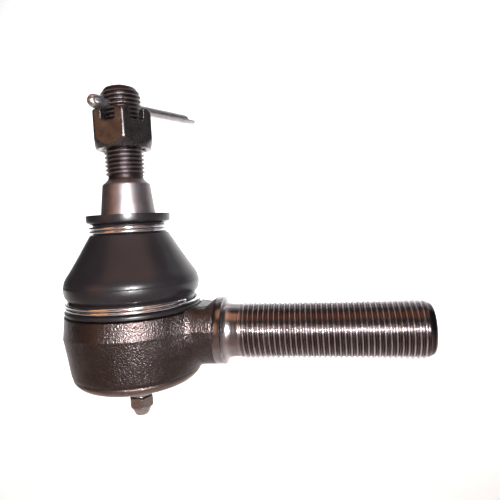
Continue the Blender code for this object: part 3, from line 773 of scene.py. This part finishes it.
def make_stud(material):
    """Ball, taper, thread and crown, turned round Z, with the split pin's hole drilled through."""
    bm = bmesh.new()
    revolve(bm, stud_outline())

    def radius_at(h, depth):
        thread = STUD_CREST_R - STUD_THREAD_DEPTH * depth
        run_in = STUD_FOOT_R + 1.1 * (h - STUD_THREAD_Z)
        chamfer = STUD_CREST_R - 0.75 * max(h - STUD_CHAMFER_Z, 0.0)
        return min(thread, run_in, chamfer)

    threaded(bm, STUD_THREAD_Z, STUD_THREAD_TOP_Z, STUD_PITCH, radius_at, "Z")
    top_r = radius_at(STUD_THREAD_TOP_Z, 0.0)
    crown = []
    for i in range(9):
        inward = i / 8
        crown.append((top_r * (1 - inward), STUD_THREAD_TOP_Z + STUD_CROWN * (1 - (1 - inward) ** 1.25)))
    revolve(bm, crown)
    clean(bm)
    stud = add_piece("stud_body", bm, material, 60)
    drill = bmesh.new()
    revolve(drill, [(0.0, -9.0), (PIN_HOLE_R, -9.0), (PIN_HOLE_R, 9.0), (0.0, 9.0)], segments=32)
    clean(drill)
    hole = add_piece("pin_hole_drill", drill, material)
    turn = Matrix.Rotation(PIN_TURN, 4, "Z") @ Matrix.Rotation(math.pi / 2, 4, "Y")
    hole.data.transform(Matrix.Translation((0, 0, PIN_Z * MM)) @ turn)
    drill_out(stud, hole)
    return stud


def cone_field(rho, height, radius, slope):
    """The outside of a cone round Z whose radius is as given at height 0 and grows with height by slope."""
    return (rho - radius - slope * height) / math.hypot(1, slope)


def nut_field(x, y, z):
    """A hexagon chamfered at both ends, with a threaded bore and three slots across its top."""
    rho = np.hypot(x, y)
    corner = NUT_FLATS / math.sqrt(3)
    body = hexagon_field(x, y, NUT_FLATS, 0.55)
    body = meet(body, -z, 0.25)
    body = meet(body, z - NUT_HEIGHT, 0.3)
    body = meet(body, cone_field(rho, z, corner - 1.55, 0.55), 0.3)
    body = meet(body, cone_field(rho, NUT_HEIGHT - z, corner - 0.75, 0.9), 0.3)
    phase = (z / STUD_PITCH - np.arctan2(y, x) / (2 * math.pi)) % 1.0
    groove = NUT_THREAD_DEPTH * (1 - np.abs(phase - 0.5) * 2)
    countersink = np.maximum(6.9 - 0.9 * z, 6.9 - 0.9 * (NUT_HEIGHT - z))
    bore = rho - np.maximum(NUT_BORE_R + groove, countersink)
    body = cut(body, bore * 0.8, 0.1)
    for i in range(3):
        a = math.radians(60 * i)
        across = np.abs(x * math.cos(a) + y * math.sin(a)) - NUT_SLOT_HALF
        slot = meet(across, NUT_HEIGHT - NUT_SLOT_DEPTH - z, 0.6)
        body = cut(body, slot, 0.25)
    return body


def make_nut(material):
    reach = NUT_FLATS / math.sqrt(3) + 0.7
    points, quads = net_mesh(nut_field, (-reach, -reach, -0.7), (reach, reach, NUT_HEIGHT + 0.7), NUT_STEP)
    place = Matrix.Translation((0, 0, NUT_LOW.z * MM)) @ Matrix.Rotation(NUT_TURN, 4, "Z")
    return net_piece("slotted_nut", points, quads, material, 60, place)


def make_pin(material):
    """The folded half-round wire: upper leg, eye and longer lower leg."""
    leg = [(PIN_SHORT_LEG, PIN_GAP)]
    leg += [(x, PIN_GAP) for x in np.linspace(PIN_SHORT_LEG - 1.0, PIN_EYE_START_X, 14)]
    for i in range(1, 9):
        t = i / 8
        x = PIN_EYE_START_X + (PIN_EYE_X - PIN_EYE_START_X) * t
        leg.append((x, PIN_GAP + (PIN_EYE_R - PIN_GAP) * eased(1.7 * t)))
    eye = []
    for i in range(1, 12):
        a = math.pi / 2 + math.pi * i / 12
        eye.append((PIN_EYE_X + PIN_EYE_R * math.cos(a), PIN_EYE_R * math.sin(a)))
    lower = [(x, -z) for x, z in reversed(leg)]
    lower[-1] = (PIN_LONG_LEG, -PIN_GAP)
    path = [Vector((x, 0, z)) * MM for x, z in leg + eye + lower]
    sections = []
    for i, here in enumerate(path):
        ahead = (path[min(i + 1, len(path) - 1)] - path[max(i - 1, 0)]).normalized()
        side = Vector((0, 1, 0))
        outward = side.cross(ahead)
        radius = PIN_R * MM * (0.8 if i in (0, len(path) - 1) else 1.0)
        half_round = [(0.97, 0.0)]
        half_round += [(math.cos(a), math.sin(a)) for a in np.linspace(0.09, math.pi - 0.09, 15)]
        half_round.append((-0.97, 0.0))
        sections.append([here + (side * u + outward * v) * radius for u, v in half_round])
    bm = bmesh.new()
    tube(bm, path, sections)
    obj = add_piece("split_pin", bm, material, 45)
    obj.data.transform(Matrix.Translation((0, 0, PIN_Z * MM)) @ Matrix.Rotation(PIN_TURN, 4, "Z"))
    return obj


def make_ring(name, low, high, turns, end_deg, step_deg, material):
    """A drawn-wire ring of under two turns. The wire steps up by one pitch before it meets its start."""
    radius = (high.x - low.x) / 2 - RING_WIRE_R
    foot = (low.z + high.z) / 2 - RING_PITCH / 2
    sweep = 2 * math.pi * turns
    step = math.radians(step_deg)
    count = round(turns * 72)
    path = []
    for i in range(count + 1):
        wound = sweep * i / count
        a = math.radians(end_deg) - sweep + wound
        climb = eased((wound - 2 * math.pi + step) / step)
        path.append(Vector((radius * math.cos(a), radius * math.sin(a), foot + RING_PITCH * climb)) * MM)
    bm = bmesh.new()
    tube(bm, path, wire_sections(path, RING_WIRE_R * MM, 16), 0.12 * MM)
    return add_piece(name, bm, material, 50)


def boot_outside():
    """Lip, ring groove, cone, bulge, ring groove and foot band, from the top down."""
    top = BOOT_HIGH.z
    foot = BOOT_LOW.z
    lip = rounded(
        [
            (8.6, top - 0.15),
            (12.55, top, 0.3),
            (12.45, top - 2.3, 0.35),
            (10.75, top - 2.9, 0.3),
            (10.7, 30.75, 0.3),
            (11.75, 30.45, 0.25),
            (11.9, 30.2),
        ]
    )
    cone = smooth_line(
        [
            (11.9, 30.2),
            (13.25, 28.0),
            (14.45, 26.0),
            (15.65, 24.0),
            (16.9, 22.0),
            (18.2, 20.0),
            (19.35, 18.3),
            (20.0, 17.0),
            (20.28, 15.8),
        ],
        4,
    )[1:]
    below = rounded(
        [
            (20.28, 15.8),
            (20.40, 15.6, 0.1),
            (20.44, 14.3, 0.8),
            (20.2, 12.9, 0.8),
            (19.6, 12.0, 0.6),
            (19.0, 11.35, 0.3),
            (18.95, 8.95, 0.3),
            (20.5, 8.6, 0.4),
            (20.5, foot, 0.3),
        ]
    )[1:]
    return lip + cone + below


def radius_on(outline, height):
    """The radius of an outline where it first passes a height."""
    for (r0, h0), (r1, h1) in zip(outline, outline[1:]):
        if min(h0, h1) <= height <= max(h0, h1) and h0 != h1:
            return r0 + (r1 - r0) * (height - h0) / (h1 - h0)
    return outline[-1][0]


def boot_inside():
    """The boot's inner surface from the foot up to the lip."""
    curve = [
        (17.9, BOOT_LOW.z + 0.1),
        (17.9, 12.9),
        (18.6, 15.0),
        (18.5, 16.6),
        (15.4, 21.4),
        (11.9, 26.9),
        (9.4, 29.6),
    ]
    return smooth_line(curve, 4) + [(9.25, 35.4), (8.7, 35.6)]


def make_boot(material):
    """The boot as two meshes that meet at one height."""
    outside = boot_outside()
    inside = boot_inside()
    outer_cut = (radius_on(outside, BOOT_SPLIT_Z), BOOT_SPLIT_Z)
    inner_cut = (radius_on(inside, BOOT_SPLIT_Z), BOOT_SPLIT_Z)
    outer_low = [p for p in outside if p[1] < BOOT_SPLIT_Z - 0.05]
    outer_high = [p for p in outside if p[1] > BOOT_SPLIT_Z + 0.05]
    inner_low = [p for p in inside if p[1] <= BOOT_SPLIT_Z]
    inner_high = [p for p in inside if p[1] >= BOOT_SPLIT_Z]
    skirt = [outer_cut, *outer_low, *inner_low, inner_cut]
    sleeve = [*outer_high, outer_cut, inner_cut, *inner_high]
    halves = []
    for name, loop in (("boot_skirt", skirt), ("boot_sleeve", sleeve)):
        bm = bmesh.new()
        revolve(bm, loop, closed=True, segments=128)
        clean(bm)
        halves.append(add_piece(name, bm, material, 40))
    return halves


def make_cover(material):
    """The pressed end cover: rim under the rolled lip, dome, and the boss that holds the nipple."""
    dome = COVER_LOW.z + COVER_WALL
    outline = rounded(
        [
            (15.85, -10.75, 0.2),
            (13.0, -10.75, 0.3),
            (10.6, -13.9, 0.8),
            (8.0, dome + 2.6, 0.8),
            (6.4, dome + 1.9, 0.6),
            (3.05, dome + 1.9, 0.2),
            (3.05, COVER_LOW.z, 0.15),
            (4.0, COVER_LOW.z, 0.35),
            (4.05, dome + 0.1, 0.5),
            (6.4, dome, 0.8),
            (9.0, dome + 1.2, 1.2),
            (12.4, -14.6, 1.0),
            (13.7, -12.55, 0.4),
            (15.85, -12.55, 0.2),
        ]
    )
    bm = bmesh.new()
    revolve(bm, outline, closed=True)
    clean(bm)
    return add_piece("cover_pressing", bm, material, 40)


def nipple_field(x, y, z):
    """The grease nipple: stem, chamfered hexagon and rounded tip, with the passage for the grease."""
    rho = np.hypot(x, y)
    hex_foot, hex_top = NIPPLE_HEX_Z
    stem_foot, stem_top = NIPPLE_STEM_Z
    hexagon = hexagon_field(x, y, NIPPLE_FLATS, 0.2)
    hexagon = meet(meet(hexagon, z - hex_top, 0.1), hex_foot - z, 0.1)
    hexagon = meet(hexagon, cone_field(rho, z - hex_foot, 3.55, 0.75), 0.12)
    hexagon = meet(hexagon, cone_field(rho, hex_top - z, 3.62, 0.9), 0.12)
    stem = np.maximum(rho - NIPPLE_STEM_R, np.maximum(z - stem_top, stem_foot - z))
    tip = rho - np.interp(z, (-27.0, -26.6, -24.6, stem_foot), (1.75, 2.15, 3.05, 3.2))
    tip = meet(tip, np.maximum(z - stem_foot, NIPPLE_LOW.z - z), 0.45)
    body = join(join(hexagon, stem, 0.15), tip, 0.12)
    passage = rho - np.interp(z, (-26.2, -25.3), (0.8, 1.55))
    return np.maximum(body, -passage)


def make_nipple(material):
    low = (-4.4, -4.4, NIPPLE_LOW.z - 0.4)
    high = (4.4, 4.4, NIPPLE_HIGH.z + 0.4)
    points, quads = net_mesh(nipple_field, low, high, NIPPLE_STEP)
    return net_piece("nipple_body", points, quads, material, 60)


def ride_on(body, node, slot, *pieces):
    """Rigid pieces that take the place of a CAD node and move with a body."""
    for piece in pieces:
        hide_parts(node)
        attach(piece, body)


def make_coil(material):
    """The preload spring: a copy of the CAD coil."""
    coil = bpy.data.objects.new("preload_coil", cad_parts["preload_spring"].data.copy())
    bpy.context.scene.collection.objects.link(coil)
    coil.data.materials.clear()
    coil.data.materials.append(material)
    coil.data.shade_smooth()
    return coil


def build():
    forged = forged_steel()
    machined = machined_steel()
    ground = ground_steel()
    oxide = black_oxide()
    rubber = black_rubber()
    zinc = bright_metal("zinc_plate", (0.36, 0.35, 0.36), (0.47, 0.46, 0.47), 0.26, 0.38, 1300)
    wire = bright_metal("ring_wire", (0.60, 0.60, 0.62), (0.74, 0.74, 0.77), 0.12, 0.22, 1600)
    spring = bright_metal("spring_steel", (0.20, 0.20, 0.21), (0.28, 0.28, 0.29), 0.28, 0.4, 1500)
    pressed = bright_metal("cover_steel", (0.26, 0.235, 0.225), (0.34, 0.31, 0.30), 0.30, 0.44, 900)
    plated = bright_metal("nipple_steel", (0.22, 0.20, 0.19), (0.34, 0.31, 0.295), 0.16, 0.26, 900, 0.04)
    nylon = seat_nylon()

    ride_on("housing", "socket_housing", "forged_steel", make_forging(forged), make_shank(machined))
    ride_on("housing", "end_cover", "cover_steel", make_cover(pressed))
    ride_on("housing", "grease_nipple", "nipple_steel", make_nipple(plated))
    ride_on("stud", "ball_stud", "ground_steel", make_stud(ground))
    ride_on("stud", "castle_nut", "black_oxide", make_nut(oxide))
    ride_on("stud", "cotter_pin", "zinc_plate", make_pin(zinc))
    lower = make_ring("skirt_ring", LOWER_RING_LOW, LOWER_RING_HIGH, 1.5, -19.0, 24.0, wire)
    upper = make_ring("sleeve_ring", UPPER_RING_LOW, UPPER_RING_HIGH, 1.7, 0.0, 24.0, wire)
    ride_on("housing", "boot_lower_ring", "ring_wire", lower)
    ride_on("boot_top", "boot_upper_ring", "ring_wire", upper)

    skirt, sleeve = make_boot(rubber)
    for piece in (skirt, sleeve):
        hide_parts("dust_boot")
    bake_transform(skirt)
    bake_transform(sleeve)

    coil = make_coil(spring)
    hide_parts("preload_spring")
    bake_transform(coil)

    # Pieces inside that keep their CAD meshes and only take a material
    kept = {
        "upper_ball_seat": nylon,
        "lower_ball_seat": nylon,
        "pressure_plate": spring,
        "nipple_check_ball": spring,
        "nipple_spring": spring,
        "cover_seal": rubber,
    }
    for name, material in kept.items():
        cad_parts[name].data.materials.clear()
        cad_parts[name].data.materials.append(material)


# Camera, lights and floor


def add_camera():
    """The camera, turned from +Y by its yaw, then down by its pitch, then rolled."""
    yaw, pitch, roll = CAMERA_YAW, CAMERA_PITCH, CAMERA_ROLL
    forward = Vector((math.sin(yaw) * math.cos(pitch), math.cos(yaw) * math.cos(pitch), -math.sin(pitch)))
    right = Vector((math.cos(yaw), -math.sin(yaw), 0))
    up = right.cross(forward)
    rolled_right = math.cos(roll) * right + math.sin(roll) * up
    rolled_up = -math.sin(roll) * right + math.cos(roll) * up
    data = bpy.data.cameras.new("camera")
    data.lens = CAMERA_LENS
    data.sensor_width = 36.0
    data.clip_start = 0.005
    camera = bpy.data.objects.new("camera", data)
    bpy.context.scene.collection.objects.link(camera)
    turn = Matrix((rolled_right, rolled_up, -forward)).transposed().to_4x4()
    camera.matrix_world = Matrix.Translation(CAMERA_PLACE) @ turn
    bpy.context.scene.camera = camera


def area_light(name, place, backward, size, power, colour=(1.0, 1.0, 1.0), spread_deg=180):
    """A rectangular light at a place. It shines away from the backward direction."""
    data = bpy.data.lights.new(name, "AREA")
    data.shape = "RECTANGLE"
    data.size, data.size_y = size
    data.energy = power
    data.color = colour
    data.spread = math.radians(spread_deg)
    light = bpy.data.objects.new(name, data)
    bpy.context.scene.collection.objects.link(light)
    light.location = place
    light.rotation_euler = backward.to_track_quat("Z", "Y").to_euler()


def add_panel(name, azimuth, elevation, distance, size, power, colour, spread_deg=180):
    """A soft light that faces the object, placed by its direction from it."""
    a = math.radians(azimuth)
    e = math.radians(elevation)
    way = Vector((math.cos(a) * math.cos(e), math.sin(a) * math.cos(e), math.sin(e)))
    area_light(name, LIGHT_AIM + way * distance, way, size, power, colour, spread_deg)


def add_stage():
    """A pale sweep: a floor that curves up into a backdrop."""
    bm = bmesh.new()
    profile = [(-FLOOR_REACH, 0.0), (SWEEP_START_Y, 0.0)]
    for i in range(1, 13):
        a = math.pi / 2 * i / 12
        profile.append((SWEEP_START_Y + SWEEP_R * math.sin(a), SWEEP_R * (1 - math.cos(a))))
    profile.append((SWEEP_START_Y + SWEEP_R, FLOOR_REACH))
    rows = [[bm.verts.new((x, y, z + FLOOR_Z)) for x in (-FLOOR_REACH, FLOOR_REACH)] for y, z in profile]
    for first, second in zip(rows, rows[1:]):
        bm.faces.new((first[0], first[1], second[1], second[0]))
    made, tree, shader, coords = surface("pale_floor", 0.0, 0.9)
    mottle = noise_at(tree, coords, 3, 2)
    link_surface(tree, shader, ramp(tree, mottle, ((0.3, 0.86), (0.7, 0.88))))
    floor = add_piece("floor_sweep", bm, made)


def add_lights():
    """A small flash near the camera, warm and cool panels, and two lights on the floor and backdrop."""
    add_panel("flash", -70, 8, 0.34, (0.05, 0.025), 0.47, (1.0, 0.985, 1.0), 60)
    add_panel("left_warm", -126, 13, 0.45, (0.22, 0.25), 0.30, (1.0, 0.44, 0.18))
    add_panel("right_cool", 8, 12, 0.8, (0.3, 0.4), 0.06, (0.88, 0.86, 1.0))
    add_panel("overhead_warm", -80, 72, 0.7, (0.9, 0.42), 1.7, (1.0, 0.50, 0.30))
    add_panel("ceiling", 70, 62, 0.9, (0.9, 0.5), 0.55, (0.97, 0.90, 1.0))
    # These two stand behind the object and face away from it, so they light only what is behind it
    area_light("near_background", (0.0, 0.40, 0.45), Vector((0, -0.8, 0.6)), (2.4, 0.3), 25.0)
    area_light("far_background", (0.0, 0.9, 1.2), Vector((0, -0.75, 0.66)), (3.0, 0.8), 45.0)
    world = bpy.data.worlds.new("studio")
    bpy.context.scene.world = world
    world.use_nodes = True
    background = world.node_tree.nodes["Background"]
    background.inputs["Color"].default_value = (0.9, 0.84, 0.86, 1)
    background.inputs["Strength"].default_value = 0.05
    bpy.context.scene.view_settings.view_transform = "Standard"


build()
add_camera()
add_lights()
add_stage()
